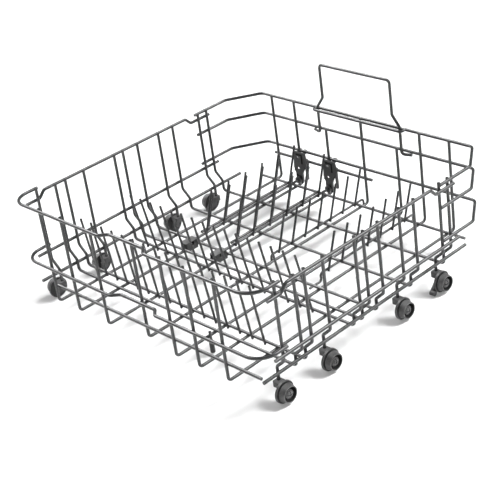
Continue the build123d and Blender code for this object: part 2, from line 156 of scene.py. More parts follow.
class ShaderKit:
    """Node groups that several finishes share, each built once."""

    drift_window: tuple[float, float] = (0.32, 0.68)
    patch_window: tuple[float, float] = (0.35, 0.75)
    upward_window: tuple[float, float] = (0.1, 0.95)
    gloss_share: float = 0.5

    def __init__(self) -> None:
        """Build the grain group and the settled film group."""
        self.grain = self._grain_group()
        self.film = self._film_group()

    @staticmethod
    def _new(name: str, inputs: Sequence[tuple[str, str, float | None]],
             outputs: Sequence[str]) -> bpy.types.ShaderNodeTree:
        """Start a shader node group with named sockets.

        Args:
            name: Name of the group.
            inputs: Socket name, socket type and default value of each input.
            outputs: Names of the float outputs.

        Returns:
            The group, with its input and output nodes in place.
        """
        tree = bpy.data.node_groups.new(name, "ShaderNodeTree")
        for label, kind, default in inputs:
            socket = tree.interface.new_socket(name=label, in_out="INPUT", socket_type=kind)
            if default is not None:
                socket.default_value = default
        for label in outputs:
            tree.interface.new_socket(name=label, in_out="OUTPUT", socket_type="NodeSocketFloat")
        tree.nodes.new("NodeGroupInput").name = "in"
        tree.nodes.new("NodeGroupOutput").name = "out"
        return tree

    @staticmethod
    def _noise(tree: bpy.types.ShaderNodeTree, scale: str,
               detail: float, roughness: float) -> bpy.types.NodeSocket:
        """Add a noise texture over the group's own Vector.

        Args:
            tree: The group.
            scale: Name of the group's input that sets the scale.
            detail: Number of finer layers.
            roughness: Weight of the finer layers.

        Returns:
            The noise's value.
        """
        source = tree.nodes["in"]
        noise = tree.nodes.new("ShaderNodeTexNoise")
        noise.inputs["Detail"].default_value = detail
        noise.inputs["Roughness"].default_value = roughness
        tree.links.new(source.outputs["Vector"], noise.inputs["Vector"])
        tree.links.new(source.outputs[scale], noise.inputs["Scale"])
        return noise.outputs["Fac"]

    def _grain_group(self) -> bpy.types.ShaderNodeTree:
        """Fine surface texture with a slow drift in tone and gloss.

        Returns:
            Group with the outputs Height, Tone and Gloss.
        """
        tree = self._new(
            "surface_grain",
            [("Vector", "NodeSocketVector", None), ("Fine Scale", "NodeSocketFloat", 900.0),
             ("Broad Scale", "NodeSocketFloat", 16.0), ("Fleck", "NodeSocketFloat", 0.3)],
            ["Height", "Tone", "Gloss"])
        source, target = tree.nodes["in"], tree.nodes["out"]
        fine = self._noise(tree, "Fine Scale", detail=2.0, roughness=0.45)
        broad = self._noise(tree, "Broad Scale", detail=3.0, roughness=0.6)
        drift = smooth_window(tree, broad, *self.drift_window)
        tone = tree.nodes.new("ShaderNodeMix")
        tree.links.new(source.outputs["Fleck"], tone.inputs["Factor"])
        tree.links.new(drift, tone.inputs["A"])
        tree.links.new(fine, tone.inputs["B"])
        slow = math_node(tree, "MULTIPLY", drift, self.gloss_share)
        gloss = math_node(tree, "MULTIPLY_ADD", fine, 1.0 - self.gloss_share, slow)
        tree.links.new(fine, target.inputs["Height"])
        tree.links.new(tone.outputs["Result"], target.inputs["Tone"])
        tree.links.new(gloss, target.inputs["Gloss"])
        return tree

    def _film_group(self) -> bpy.types.ShaderNodeTree:
        """Pale film that settles in patches on what faces upwards.

        Returns:
            Group with the output Mask.
        """
        tree = self._new(
            "settled_film",
            [("Vector", "NodeSocketVector", None), ("Patch Scale", "NodeSocketFloat", 60.0),
             ("Amount", "NodeSocketFloat", 0.3)],
            ["Mask"])
        source, target = tree.nodes["in"], tree.nodes["out"]
        patch = self._noise(tree, "Patch Scale", detail=4.0, roughness=0.65)
        cover = smooth_window(tree, patch, *self.patch_window)
        geometry = tree.nodes.new("ShaderNodeNewGeometry")
        split = tree.nodes.new("ShaderNodeSeparateXYZ")
        tree.links.new(geometry.outputs["Normal"], split.inputs[0])
        upward = smooth_window(tree, split.outputs["Z"], *self.upward_window)
        settled = math_node(tree, "MULTIPLY", cover, upward)
        mask = math_node(tree, "MULTIPLY", settled, source.outputs["Amount"])
        tree.links.new(mask, target.inputs["Mask"])
        return tree


@dataclass(frozen=True)
class Finish:
    """A coated or moulded surface, and how it becomes a material."""

    name: str
    slot: Slot
    dark: Triple
    light: Triple
    film: Triple
    rough_low: float
    rough_high: float
    fine_scale: float
    broad_scale: float
    fleck: float
    grain_strength: float
    film_amount: float
    film_scale: float
    # Colour for paler worn edges with painted light, also on lit tops and on pin and hub ends
    wear_and_painted_light: Triple | None = None
    # Colour of painted shade in hollows
    painted_shade: Triple | None = None
    specular: float = 0.5
    grain_depth: float = 0.08
    # Mask levels where painted shade sets in, and the roughness it brings
    painted_shade_window: tuple[float, float] = (0.22, 0.55)
    painted_shade_rough: float = 1.0

    def material(self, kit: ShaderKit) -> bpy.types.Material:
        """Build the procedural material of this finish.

        Args:
            kit: The shared node groups.

        Returns:
            The new material.
        """
        made = bpy.data.materials.new(self.name)
        made.use_nodes = True
        tree = made.node_tree
        shader = tree.nodes["Principled BSDF"]
        shader.inputs["Specular IOR Level"].default_value = self.specular
        place = tree.nodes.new("ShaderNodeTexCoord").outputs["Object"]
        grain = self._group(tree, kit.grain, place, {
            "Fine Scale": self.fine_scale, "Broad Scale": self.broad_scale, "Fleck": self.fleck})
        film = self._group(tree, kit.film, place, {
            "Patch Scale": self.film_scale, "Amount": self.film_amount})
        gloss = tree.nodes.new("ShaderNodeMapRange")
        gloss.inputs["To Min"].default_value = self.rough_low
        gloss.inputs["To Max"].default_value = self.rough_high
        tree.links.new(grain.outputs["Gloss"], gloss.inputs["Value"])
        rough = gloss.outputs["Result"]

        colour = self._mix(tree, self.dark, self.light, grain.outputs["Tone"])
        # Paler colour of worn edges with painted light, patchy by the grain
        if self.wear_and_painted_light is not None:
            wear_and_light_mask = self._attribute(tree, WEAR_AND_LIGHT_MARKS)
            patchy = math_node(tree, "MULTIPLY", wear_and_light_mask, grain.outputs["Gloss"])
            colour = self._mix(tree, colour, self.wear_and_painted_light, patchy)
        colour = self._mix(tree, colour, self.film, film.outputs["Mask"])
        # Painted shade: hollows darken towards near black by how closed in they are, and turn fully
        # rough
        if self.painted_shade is not None:
            closed = smooth_window(tree, self._attribute(tree, PAINTED_SHADE), *self.painted_shade_window)
            colour = self._mix(tree, colour, self.painted_shade, closed)
            dull = tree.nodes.new("ShaderNodeMix")
            dull.inputs["B"].default_value = self.painted_shade_rough
            tree.links.new(closed, dull.inputs["Factor"])
            tree.links.new(rough, dull.inputs["A"])
            rough = dull.outputs["Result"]

        bump = tree.nodes.new("ShaderNodeBump")
        bump.inputs["Strength"].default_value = self.grain_strength
        bump.inputs["Distance"].default_value = self.grain_depth * MM
        tree.links.new(grain.outputs["Height"], bump.inputs["Height"])
        tree.links.new(colour, shader.inputs["Base Color"])
        tree.links.new(rough, shader.inputs["Roughness"])
        tree.links.new(bump.outputs["Normal"], shader.inputs["Normal"])
        return made

    @staticmethod
    def _group(tree: bpy.types.NodeTree, group: bpy.types.ShaderNodeTree,
               place: bpy.types.NodeSocket, values: dict[str, float]) -> bpy.types.ShaderNode:
        """Place a shared group in the material with its own values.

        Args:
            tree: The material's nodes.
            group: The shared group.
            place: Coordinates for the group's Vector.
            values: Value of each of its other inputs.

        Returns:
            The group's node.
        """
        node = tree.nodes.new("ShaderNodeGroup")
        node.node_tree = group
        for label, value in values.items():
            node.inputs[label].default_value = value
        tree.links.new(place, node.inputs["Vector"])
        return node

    @staticmethod
    def _attribute(tree: bpy.types.NodeTree, name: str) -> bpy.types.NodeSocket:
        """Read a face-corner attribute of the mesh.

        Args:
            tree: The material's nodes.
            name: Name of the attribute.

        Returns:
            Its value.
        """
        node = tree.nodes.new("ShaderNodeAttribute")
        node.attribute_name = name
        return node.outputs["Fac"]

    @staticmethod
    def _mix(tree: bpy.types.NodeTree, first: Triple | bpy.types.NodeSocket, second: Triple,
             share: bpy.types.NodeSocket) -> bpy.types.NodeSocket:
        """Mix a second colour into a first one.

        Args:
            tree: The material's nodes.
            first: A fixed colour, or the colour so far.
            second: The colour mixed in.
            share: How much of the second colour shows.

        Returns:
            The mixed colour.
        """
        mix = tree.nodes.new("ShaderNodeMix")
        mix.data_type = "RGBA"
        if isinstance(first, tuple):
            mix.inputs[MIX_FIRST].default_value = (*first, 1.0)
        else:
            tree.links.new(first, mix.inputs[MIX_FIRST])
        mix.inputs[MIX_SECOND].default_value = (*second, 1.0)
        tree.links.new(share, mix.inputs["Factor"])
        return mix.outputs[MIX_COLOUR]


# In each finish the pale edge colour stands for worn edges with painted light, and the near-black
# colour is painted shade in hollows
FINISHES: tuple[Finish, ...] = (
    Finish(
        name="grey_nylon_coat", slot=Slot.WIRE, specular=0.7,
        dark=(0.026, 0.027, 0.028), light=(0.036, 0.037, 0.038), film=(0.30, 0.30, 0.30),
        rough_low=0.15, rough_high=0.25, fine_scale=620.0, broad_scale=22.0, fleck=0.25,
        grain_strength=0.22, film_amount=0.08, film_scale=45.0),
    Finish(
        name="black_moulding", slot=Slot.BLACK,
        dark=(0.016, 0.017, 0.017), light=(0.026, 0.027, 0.027), film=(0.14, 0.14, 0.14),
        rough_low=0.30, rough_high=0.50, fine_scale=1500.0, broad_scale=60.0, fleck=0.45,
        grain_strength=0.5, film_amount=0.12, film_scale=90.0,
        wear_and_painted_light=(0.25, 0.25, 0.25), painted_shade=(0.002, 0.002, 0.002)),
    Finish(
        name="dark_grey_moulding", slot=Slot.HOLDER,
        dark=(0.036, 0.036, 0.037), light=(0.056, 0.056, 0.057), film=(0.22, 0.22, 0.22),
        rough_low=0.38, rough_high=0.58, fine_scale=1300.0, broad_scale=70.0, fleck=0.4,
        grain_strength=0.5, film_amount=0.10, film_scale=90.0,
        wear_and_painted_light=(0.22, 0.22, 0.22), painted_shade=(0.003, 0.003, 0.003)),
    Finish(
        name="grey_wheel_moulding", slot=Slot.WHEEL,
        dark=(0.024, 0.024, 0.024), light=(0.038, 0.038, 0.038), film=(0.24, 0.24, 0.24),
        rough_low=0.36, rough_high=0.56, fine_scale=1100.0, broad_scale=90.0, fleck=0.4,
        grain_strength=0.5, film_amount=0.12, film_scale=110.0,
        wear_and_painted_light=(0.24, 0.24, 0.24), painted_shade=(0.002, 0.002, 0.002)),
)


class Wardrobe:
    """The basket's materials by slot, and how a piece puts one on."""

    def __init__(self) -> None:
        """Build every finish once."""
        kit = ShaderKit()
        self.materials = {finish.slot: finish.material(kit) for finish in FINISHES}

    def dress(self, obj: bpy.types.Object, slot: Slot) -> None:
        """Give a piece or a CAD node the material of a slot.

        Args:
            obj: The object to dress.
            slot: The slot whose finish it takes.
        """
        if not obj.material_slots:
            obj.data.materials.append(self.materials[slot])
        for held in obj.material_slots:
            held.material = self.materials[slot]

    def dress_nodes(self, names: Iterable[str], slot: Slot) -> None:
        """Dress CAD nodes that keep their own shape.

        Args:
            names: Names of the nodes.
            slot: The slot whose finish they take.
        """
        for name in names:
            self.dress(frame["nodes"][name], slot)
            LOG.info("%s: %s", name, slot.value)


def body_of(node: str) -> str:
    """Name of the body that a CAD node rides on.

    Args:
        node: Name of the node.

    Returns:
        The body's name.
    """
    parent = frame["nodes"][node].parent
    for name, empty in frame["bodies"].items():
        if empty == parent:
            return name
    return "frame"


def mesh_object(name: str, bm: bmesh.types.BMesh) -> bpy.types.Object:
    """Turn a bmesh into a smooth object in the scene.

    Args:
        name: Name of the object.
        bm: The mesh, which is freed.

    Returns:
        The new object.
    """
    mesh = bpy.data.meshes.new(name)
    bmesh.ops.recalc_face_normals(bm, faces=bm.faces)
    bm.to_mesh(mesh)
    bm.free()
    mesh.polygons.foreach_set("use_smooth", [True] * len(mesh.polygons))
    obj = bpy.data.objects.new(name, mesh)
    bpy.context.scene.collection.objects.link(obj)
    return obj


def circle_steps(count: int) -> list[tuple[float, float]]:
    """Go once round a circle in even steps.

    Args:
        count: Number of steps.

    Returns:
        Cosine and sine of each step's angle.
    """
    angles = [2 * math.pi * index / count for index in range(count)]
    return [(math.cos(angle), math.sin(angle)) for angle in angles]


def ring_stack(bm: bmesh.types.BMesh, rings: Sequence[Sequence[Vector]]) -> None:
    """Skin closed rings of equal length into one closed shape.

    Args:
        bm: The mesh to add to.
        rings: Points of each ring, from one end to the other.
    """
    rows = [[bm.verts.new(point) for point in ring] for ring in rings]
    count = len(rows[0])
    for low, high in zip(rows, rows[1:]):
        for index in range(count):
            after = (index + 1) % count
            bm.faces.new((low[index], low[after], high[after], high[index]))
    for row in (rows[0], rows[-1]):
        centre = bm.verts.new(sum((vert.co for vert in row), Vector()) / count)
        for index in range(count):
            bm.faces.new((row[index], row[(index + 1) % count], centre))


def mark_face(face: bmesh.types.BMFace, layer: bmesh.types.BMLayerItem, value: float) -> None:
    """Raise a face-corner value all over a face.

    Args:
        face: The face.
        layer: The layer that holds the value.
        value: The least value that its corners have afterwards.
    """
    for loop in face.loops:
        loop[layer] = max(loop[layer], value)


@dataclass
class PhotoCamera:
    """Camera at the photograph's viewing angle."""

    place: Triple = (1.3322, -1.17925, 1.0247)
    heading_deg: float = -48.986
    pitch_deg: float = 28.486
    roll_deg: float = -8.357
    lens_mm: float = 93.54
    sensor_mm: float = 36.0
    clip: tuple[float, float] = (0.05, 60.0)

    def build(self) -> None:
        """Create the camera and make it the scene's own."""
        degrees = (self.heading_deg, self.pitch_deg, self.roll_deg)
        heading, pitch, roll = (math.radians(value) for value in degrees)
        forward = Vector((math.sin(heading) * math.cos(pitch),
                          math.cos(heading) * math.cos(pitch), -math.sin(pitch)))
        level = forward.cross(Vector((0, 0, 1))).normalized()
        upright = level.cross(forward)
        right = math.cos(roll) * level + math.sin(roll) * upright
        top = -math.sin(roll) * level + math.cos(roll) * upright
        data = bpy.data.cameras.new("photo_camera")
        data.lens = self.lens_mm
        data.sensor_width = self.sensor_mm
        data.clip_start, data.clip_end = self.clip
        camera = bpy.data.objects.new("photo_camera", data)
        turn = Matrix((right, top, -forward)).transposed().to_4x4()
        camera.matrix_world = Matrix.Translation(Vector(self.place)) @ turn
        bpy.context.scene.collection.objects.link(camera)
        bpy.context.scene.camera = camera
        LOG.info("camera placed")


@dataclass
class Lamp:
    """One broad distant light, by where it shines from and how wide it looks."""

    name: str
    origin: Triple
    spread_deg: float
    strength: float
    casts_shadow: bool = True
    falls_on: FallsOn = FallsOn.ALL

    def build(self, floor: bpy.types.Object) -> None:
        """Create the light.

        Args:
            floor: The studio floor, which a lamp can leave out or fall on alone.
        """
        data = bpy.data.lights.new(self.name, "SUN")
        data.energy = self.strength
        data.angle = math.radians(self.spread_deg)
        data.use_shadow = self.casts_shadow
        lamp = bpy.data.objects.new(self.name, data)
        lamp.location = self.origin
        lamp.rotation_euler = (-Vector(self.origin)).to_track_quat("-Z", "Y").to_euler()
        bpy.context.scene.collection.objects.link(lamp)
        if self.falls_on is FallsOn.ALL:
            return
        linked = bpy.data.collections.new(f"{self.name}_linked")
        linked.objects.link(floor)
        if self.falls_on is FallsOn.BASKET:
            linked.collection_objects[0].light_linking.link_state = "EXCLUDE"
        lamp.light_linking.receiver_collection = linked


KEY_SIDE: Triple = (0.75, 1.35, 1.67)
FILL_SIDE: Triple = (-1.55, 0.15, 1.77)


@dataclass
class Studio:
    """Plain pale floor, pale surroundings and soft lamps."""

    floor_half: float = 9.0
    floor_tone: float = 0.8
    floor_rough: float = 0.9
    floor_specular: float = 0.1
    sky_tone: float = 0.26
    backdrop_tone: float = 1.3
    lamps: tuple[Lamp, ...] = (
        Lamp("key_lamp", KEY_SIDE, 25.0, 2.5),
        Lamp("fill_lamp", FILL_SIDE, 26.0, 3.3, False, FallsOn.BASKET),
        Lamp("floor_lamp", KEY_SIDE, 25.0, 3.8, True, FallsOn.FLOOR),
        Lamp("floor_fill", FILL_SIDE, 38.0, 1.3, False, FallsOn.FLOOR),
    )

    def build(self) -> None:
        """Create the surroundings, the floor and the lamps."""
        bpy.context.scene.view_settings.view_transform = "Standard"
        self._surroundings()
        floor = self._floor()
        for lamp in self.lamps:
            lamp.build(floor)
        LOG.info("studio built")

    def _surroundings(self) -> None:
        """Light the room softly, and show a paler backdrop behind the floor."""
        world = bpy.data.worlds.new("pale_room")
        world.use_nodes = True
        nodes, links = world.node_tree.nodes, world.node_tree.links
        sky, backdrop = nodes["Background"], nodes.new("ShaderNodeBackground")
        for light, tone in ((sky, self.sky_tone), (backdrop, self.backdrop_tone)):
            light.inputs["Strength"].default_value = tone
            light.inputs["Color"].default_value = WHITE
        path = nodes.new("ShaderNodeLightPath")
        seen = nodes.new("ShaderNodeMixShader")
        links.new(path.outputs["Is Camera Ray"], seen.inputs[0])
        links.new(sky.outputs[0], seen.inputs[1])
        links.new(backdrop.outputs[0], seen.inputs[2])
        links.new(seen.outputs[0], nodes["World Output"].inputs["Surface"])
        bpy.context.scene.world = world

    def _floor(self) -> bpy.types.Object:
        """Lay the floor.

        Returns:
            The floor.
        """
        bm = bmesh.new()
        half = self.floor_half
        spots = ((-half, -half), (half, -half), (half, half), (-half, half))
        bm.faces.new([bm.verts.new((x, y, 0.0)) for x, y in spots])
        floor = mesh_object("studio_floor", bm)
        paper = bpy.data.materials.new("pale_floor")
        paper.use_nodes = True
        shader = paper.node_tree.nodes["Principled BSDF"]
        shader.inputs["Base Color"].default_value = (self.floor_tone,) * 3 + (1.0,)
        shader.inputs["Roughness"].default_value = self.floor_rough
        shader.inputs["Specular IOR Level"].default_value = self.floor_specular
        floor.data.materials.append(paper)
        return floor


EAST = Vector((1, 0, 0))
NORTH = Vector((0, 1, 0))
UP = Vector((0, 0, 1))


@dataclass(frozen=True)
class Crossing:
    """Where one wire lies against another: the point, the direction between them and their radii."""

    point: Vector
    normal: Vector
    along: Vector
    near_radius: float
    far_radius: float


@dataclass
class WireFrame:
    """The welded frame: coated wires, with the coat pooled in every weld."""

    width: float = 530.0
    depth: float = 520.6
    rail_d: float = 5.2
    wire_d: float = 4.9
    weld: float = 0.2
    length_wire_share: tuple[float, ...] = (-0.3717, -0.2726, -0.1415, 0.0085, 0.1462, 0.2377, 0.3472)
    cross_wire_share: tuple[float, ...] = (-0.3411, -0.3027, -0.1087, -0.0732, -0.0136, 0.1373, 0.2881)
    leg_share: tuple[float, ...] = (-0.4155, -0.2374, 0.0697, 0.2443)
    leg_back: float = 3.0
    length_wire_z: float = 28.5
    rear_floor_inset: float = 25.8
    rail_inset: float = 3.2
    foot_step: float = 15.5
    clip_wall: float = 2.6
    front_return: float = 50.1
    rear_return: float = 128.0
    dip_rear_gap: float = 138.8
    lower_rail_z: float = 44.9
    middle_rail_z: float = 78.9
    recess_depth: float = 11.0
    front_rail_z: tuple[float, ...] = (89.5, 189.5)
    front_lower_z: float = 54.0
    rear_rail_z: tuple[float, ...] = (88.9, 143.8, 180.6)
    latch_rail_z: float = 71.0
    side_top_z: float = 181.4
    side_end_z: float = 170.5
    recess_wire: int = 3
    short_wires: tuple[int, ...] = (2, 4)
    latch_wires: tuple[int, ...] = (0, 1, 2, 3)
    pool_reach: float = 0.78
    pool_flare: float = 0.192
    pool_sink: float = 0.12
    pool_rings: int = 6
    segments: int = 20

    @property
    def front_rail_y(self) -> float:
        """Where the front rails' centre lines run."""
        return self.rail_d / 2 - self.depth / 2

    @property
    def rear_rail_y(self) -> float:
        """Where the rear rails' centre lines run."""
        return self.depth / 2 - self.clip_wall - self.rail_d / 2

    @property
    def length_wire_x(self) -> list[float]:
        """Where the length wires run."""
        return [share * self.width for share in self.length_wire_share]

    @property
    def cross_wire_y(self) -> list[float]:
        """Where the cross wires run."""
        return [share * self.depth for share in self.cross_wire_share]

    def crossings(self) -> list[Crossing]:
        """Every weld of two wires that cross.

        Returns:
            The crossings of the floor, the side walls, the front and the rear.
        """
        return self._floor_welds() + self._side_welds() + self._end_welds()

    def _floor_welds(self) -> list[Crossing]:
        """Welds of the cross wires and the rear floor wire on the length wires.

        Returns:
            The floor's crossings.
        """
        wire = self.wire_d / 2
        level = self.length_wire_z + wire - self.weld / 2
        rows = (*self.cross_wire_y, self.rear_rail_y - self.rear_floor_inset)
        return [Crossing(Vector((x, y, level)), UP, NORTH, wire, wire)
                for x in self.length_wire_x for y in rows]

    def _side_welds(self) -> list[Crossing]:
        """Welds of the cross wires and wheel legs on the rails of both sides.

        Returns:
            The side walls' crossings.
        """
        wire, rail = self.wire_d / 2, self.rail_d / 2
        face = self.width / 2 - self.rail_inset - rail + self.weld / 2
        foot = face - self.foot_step
        legs = [share * self.depth + self.leg_back for share in self.leg_share]
        found: list[Crossing] = []
        for side in Side:
            out = EAST * side.value
            for y in sorted(self.cross_wire_y + legs):
                at_front = y < self.front_rail_y + self.front_return
                dropped = at_front or y > self.rear_rail_y - self.dip_rear_gap
                heights = [self.middle_rail_z, self.side_end_z if dropped else self.side_top_z]
                if at_front:
                    heights += self.front_rail_z
                if y > self.rear_rail_y - self.rear_return:
                    heights += self.rear_rail_z
                spots = [(face, z) for z in heights] + [(foot, self.lower_rail_z)]
                found += [Crossing(Vector((side.value * x, y, z)), out, UP, wire, rail)
                          for x, z in spots]
        return found

    def _end_welds(self) -> list[Crossing]:
        """Welds of the length wires on the rails of the front and the rear.

        Returns:
            The end walls' crossings.
        """
        wire, rail, sink = self.wire_d / 2, self.rail_d / 2, self.weld / 2
        front, rear = self.front_rail_y + rail - sink, self.rear_rail_y - rail + sink
        found: list[Crossing] = []
        for number, x in enumerate(self.length_wire_x):
            recessed = number == self.recess_wire
            y = front + (self.recess_depth if recessed else 0.0)
            found += [Crossing(Vector((x, y, z)), -NORTH, UP, wire, rail) for z in self.front_rail_z]
            if not recessed:
                inner = front + self.wire_d - self.weld
                found.append(Crossing(Vector((x, inner, self.front_lower_z)), NORTH, UP, wire, wire))
            heights = list(self.rear_rail_z[:2] if number in self.short_wires else self.rear_rail_z)
            if number in self.latch_wires:
                heights.append(self.latch_rail_z)
            found += [Crossing(Vector((x, rear, z)), NORTH, UP, wire, rail) for z in heights]
        return found

    def _pool_rings(self, crossing: Crossing) -> list[list[Vector]]:
        """Shape one pool: waisted in the middle, its ends sunk into the two wires.

        Args:
            crossing: The weld that the pool lies round.

        Returns:
            Points of its rings, in metres.
        """
        across = crossing.normal.cross(crossing.along)
        near, far = crossing.near_radius, crossing.far_radius
        lift = self.weld / 2 - self.pool_sink
        rings = []
        for step in range(self.pool_rings):
            share = step / (self.pool_rings - 1)
            reach = min(near, far) * (self.pool_reach + self.pool_flare * (2 * share - 1) ** 2)
            ring = []
            for cosine, sine in circle_steps(self.segments):
                u, v = reach * cosine, reach * sine
                low = math.sqrt(near ** 2 - v * v) - near + lift
                high = far - math.sqrt(far ** 2 - u * u) - lift
                offset = crossing.along * u + across * v
                height = crossing.normal * (low + (high - low) * share)
                ring.append((crossing.point + offset + height) * MM)
            rings.append(ring)
        return rings

    def build_pools(self) -> bpy.types.Object:
        """Coat pooled round every weld.

        Returns:
            One object with all the pools.
        """
        bm = bmesh.new()
        for crossing in self.crossings():
            ring_stack(bm, self._pool_rings(crossing))
        return mesh_object("weld_pools", bm)

    def dress(self, wardrobe: Wardrobe) -> None:
        """Dress the wires and add the pools.

        Args:
            wardrobe: The basket's materials.
        """
        wires = [name for name in sorted(frame["nodes"])
                 if body_of(name) == "frame" and name not in MOULDED]
        wardrobe.dress_nodes(wires, Slot.WIRE)
        pools = self.build_pools()
        wardrobe.dress(pools, Slot.WIRE)
        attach(pools, "frame")
        LOG.info("weld_pools: %d welds", len(self.crossings()))


@dataclass
class TineTips:
    """Rounded beads that the coat forms on the tips of one row of tines.

    The bead's profile gives heights over the tip and radii, both in radii of the tine.
    """

    row: str
    profile: tuple[tuple[float, float], ...] = (
        (-1.6, 0.97), (-1.12, 1.02), (-0.45, 1.07), (0.0, 1.05395),
        (0.279, 0.84), (0.496, 0.52), (0.62, 0.16))
    merge: float = 0.001
    tip_depth: float = 0.2
    segments: int = 14

    def _islands(self) -> list[list[Vector]]:
        """Split the row's mesh into its tines.

        Returns:
            The points of each tine.
        """
        bm = bmesh.new()
        bm.from_mesh(frame["nodes"][self.row].data)
        bmesh.ops.remove_doubles(bm, verts=bm.verts, dist=self.merge * MM)
        seen: set[bmesh.types.BMVert] = set()
        found: list[list[Vector]] = []
        for start in bm.verts:
            if start in seen:
                continue
            tine, queue = [], [start]
            seen.add(start)
            while queue:
                vert = queue.pop()
                tine.append(vert.co.copy())
                for edge in vert.link_edges:
                    other = edge.other_vert(vert)
                    if other not in seen:
                        seen.add(other)
                        queue.append(other)
            found.append(tine)
        bm.free()
        return found

    def tips(self) -> list[tuple[Vector, Vector, float]]:
        """Find the upper end of every tine of the row.

        Returns:
            Centre, direction and radius of each tip.
        """
        found = []
        for tine in self._islands():
            tine.sort(key=lambda point: point.z)
            half = len(tine) // 2
            low = sum(tine[:half], Vector()) / half
            high = sum(tine[-half:], Vector()) / half
            axis = (high - low).normalized()
            reach = max(point.dot(axis) for point in tine) - self.tip_depth * MM
            ring = [point for point in tine if point.dot(axis) > reach]
            centre = sum(ring, Vector()) / len(ring)
            found.append((centre, axis, max((point - centre).length for point in ring)))
        return found

    def build(self) -> bpy.types.Object:
        """Make a bead on every tip.

        Returns:
            One object with the row's beads.
        """
        bm = bmesh.new()
        for centre, axis, radius in self.tips():
            side = axis.orthogonal().normalized()
            other = axis.cross(side)
            rings = []
            for rise, share in self.profile:
                middle = centre + axis * rise * radius
                rings.append([middle + (side * cosine + other * sine) * radius * share
                              for cosine, sine in circle_steps(self.segments)])
            ring_stack(bm, rings)
        return mesh_object(f"{self.row}_tips", bm)

    def dress(self, wardrobe: Wardrobe) -> None:
        """Build the beads, coat them and let them ride with their row.

        Args:
            wardrobe: The basket's materials.
        """
        beads = self.build()
        wardrobe.dress(beads, Slot.WIRE)
        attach(beads, body_of(self.row))
        LOG.info("%s", beads.name)


@dataclass
class SoftMoulding:
    """A moulded piece whose edges are rounded as they leave the mould."""

    node: str
    slot: Slot
    edge: float = 0.5
    crease_deg: float = 32.0
    flat_deg: float = 0.4
    merge: float = 0.002
    segments: int = 2
    rays: int = 20
    ray_reach: float = 25.0
    ray_lift: float = 0.1
    ray_inset: float = 0.1
    facing_steps: int = 2
    # Gain on how closed in a corner is, for painted shade
    painted_shade_gain: float = 1.0

    def build(self) -> bpy.types.Object:
        """Copy the node's shape, round its edges, and mark its rounded edges paler, as worn edges with
        painted highlight, and its hollows for painted shade.

        Returns:
            The rounded piece.
        """
        bm = bmesh.new()
        bm.from_mesh(frame["nodes"][self.node].data)
        bmesh.ops.remove_doubles(bm, verts=bm.verts, dist=self.merge * MM)
        bmesh.ops.dissolve_limit(bm, angle_limit=math.radians(self.flat_deg),
                                 verts=bm.verts, edges=bm.edges)
        wear_and_painted_light = bm.loops.layers.float.new(WEAR_AND_LIGHT_MARKS)
        crease = math.radians(self.crease_deg)
        edges = [edge for edge in bm.edges
                 if len(edge.link_faces) == 2 and edge.calc_face_angle(0.0) > crease]
        made = bmesh.ops.bevel(bm, geom=edges, offset=self.edge * MM, offset_type="OFFSET",
                               affect="EDGES", segments=self.segments, profile=0.5,
                               clamp_overlap=True)
        # Rounded edges turn fully pale: worn edges with painted highlight
        for face in made["faces"]:
            mark_face(face, wear_and_painted_light, 1.0)
        self.mark_painted_light(bm, wear_and_painted_light)
        piece = mesh_object(f"{self.node}_moulding", bm)
        self.mark_painted_shade(piece.data)
        piece.modifiers.new("even_shading", "WEIGHTED_NORMAL").keep_sharp = True
        return piece

    def mark_painted_light(self, bm: bmesh.types.BMesh, wear_and_painted_light: bmesh.types.BMLayerItem) -> None:
        """Mark painted light beyond the rounded edges: none on a plain moulding."""

    def _fan(self) -> list[Triple]:
        """Spread rays evenly over what a surface faces.

        Returns:
            Parts of each ray along two directions in the surface and along its normal.
        """
        golden = math.pi * (3.0 - math.sqrt(5.0))
        fan = []
        for index in range(self.rays):
            share = (index + 0.5) / self.rays
            out, angle = math.sqrt(share), golden * index
            fan.append((out * math.cos(angle), out * math.sin(angle), math.sqrt(1.0 - share)))
        return fan

    def mark_painted_shade(self, mesh: bpy.types.Mesh) -> None:
        """Note at every face corner how far the piece itself closes it in, as the mask for painted
        shade.

        Args:
            mesh: The piece's mesh.
        """
        tree = BVHTree.FromPolygons([vertex.co for vertex in mesh.vertices],
                                    [tuple(polygon.vertices) for polygon in mesh.polygons])
        fan = self._fan()
        known: dict[tuple[int, ...], float] = {}
        values = [0.0] * len(mesh.loops)
        for polygon in mesh.polygons:
            normal = polygon.normal
            facing = tuple(round(self.facing_steps * part) for part in normal)
            side = normal.orthogonal().normalized()
            other = normal.cross(side)
            for corner in polygon.loop_indices:
                vertex = mesh.loops[corner].vertex_index
                key = (vertex, *facing)
                if key not in known:
                    spot = mesh.vertices[vertex].co.lerp(polygon.center, self.ray_inset)
                    start = spot + normal * self.ray_lift * MM
                    blocked = 0
                    for a, b, c in fan:
                        ray = side * a + other * b + normal * c
                        hit = tree.ray_cast(start, ray, self.ray_reach * MM)
                        blocked += hit[0] is not None
                    known[key] = min(1.0, self.painted_shade_gain * blocked / self.rays)
                values[corner] = known[key]
        layer = mesh.attributes.new(PAINTED_SHADE, "FLOAT", "CORNER")
        layer.data.foreach_set("value", values)

    def dress(self, wardrobe: Wardrobe) -> None:
        """Build the piece, give it its finish and let it stand for its node.

        Args:
            wardrobe: The basket's materials.
        """
        piece = self.build()
        wardrobe.dress(piece, self.slot)
        wardrobe.dress(frame["nodes"][self.node], self.slot)
        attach(piece, body_of(self.node))
        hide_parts(self.node)
        LOG.info("%s: rounded by %.2f mm", piece.name, self.edge)


@dataclass(frozen=True)
class TurnedSide:
    """One side of a turned profile: where it starts, how pale it is painted, as worn surface with
    painted light, and how much painted shade it takes.
    """

    along: float
    radius: float
    wear_and_painted_light: float = 0.0
    painted_shade: float = 0.0


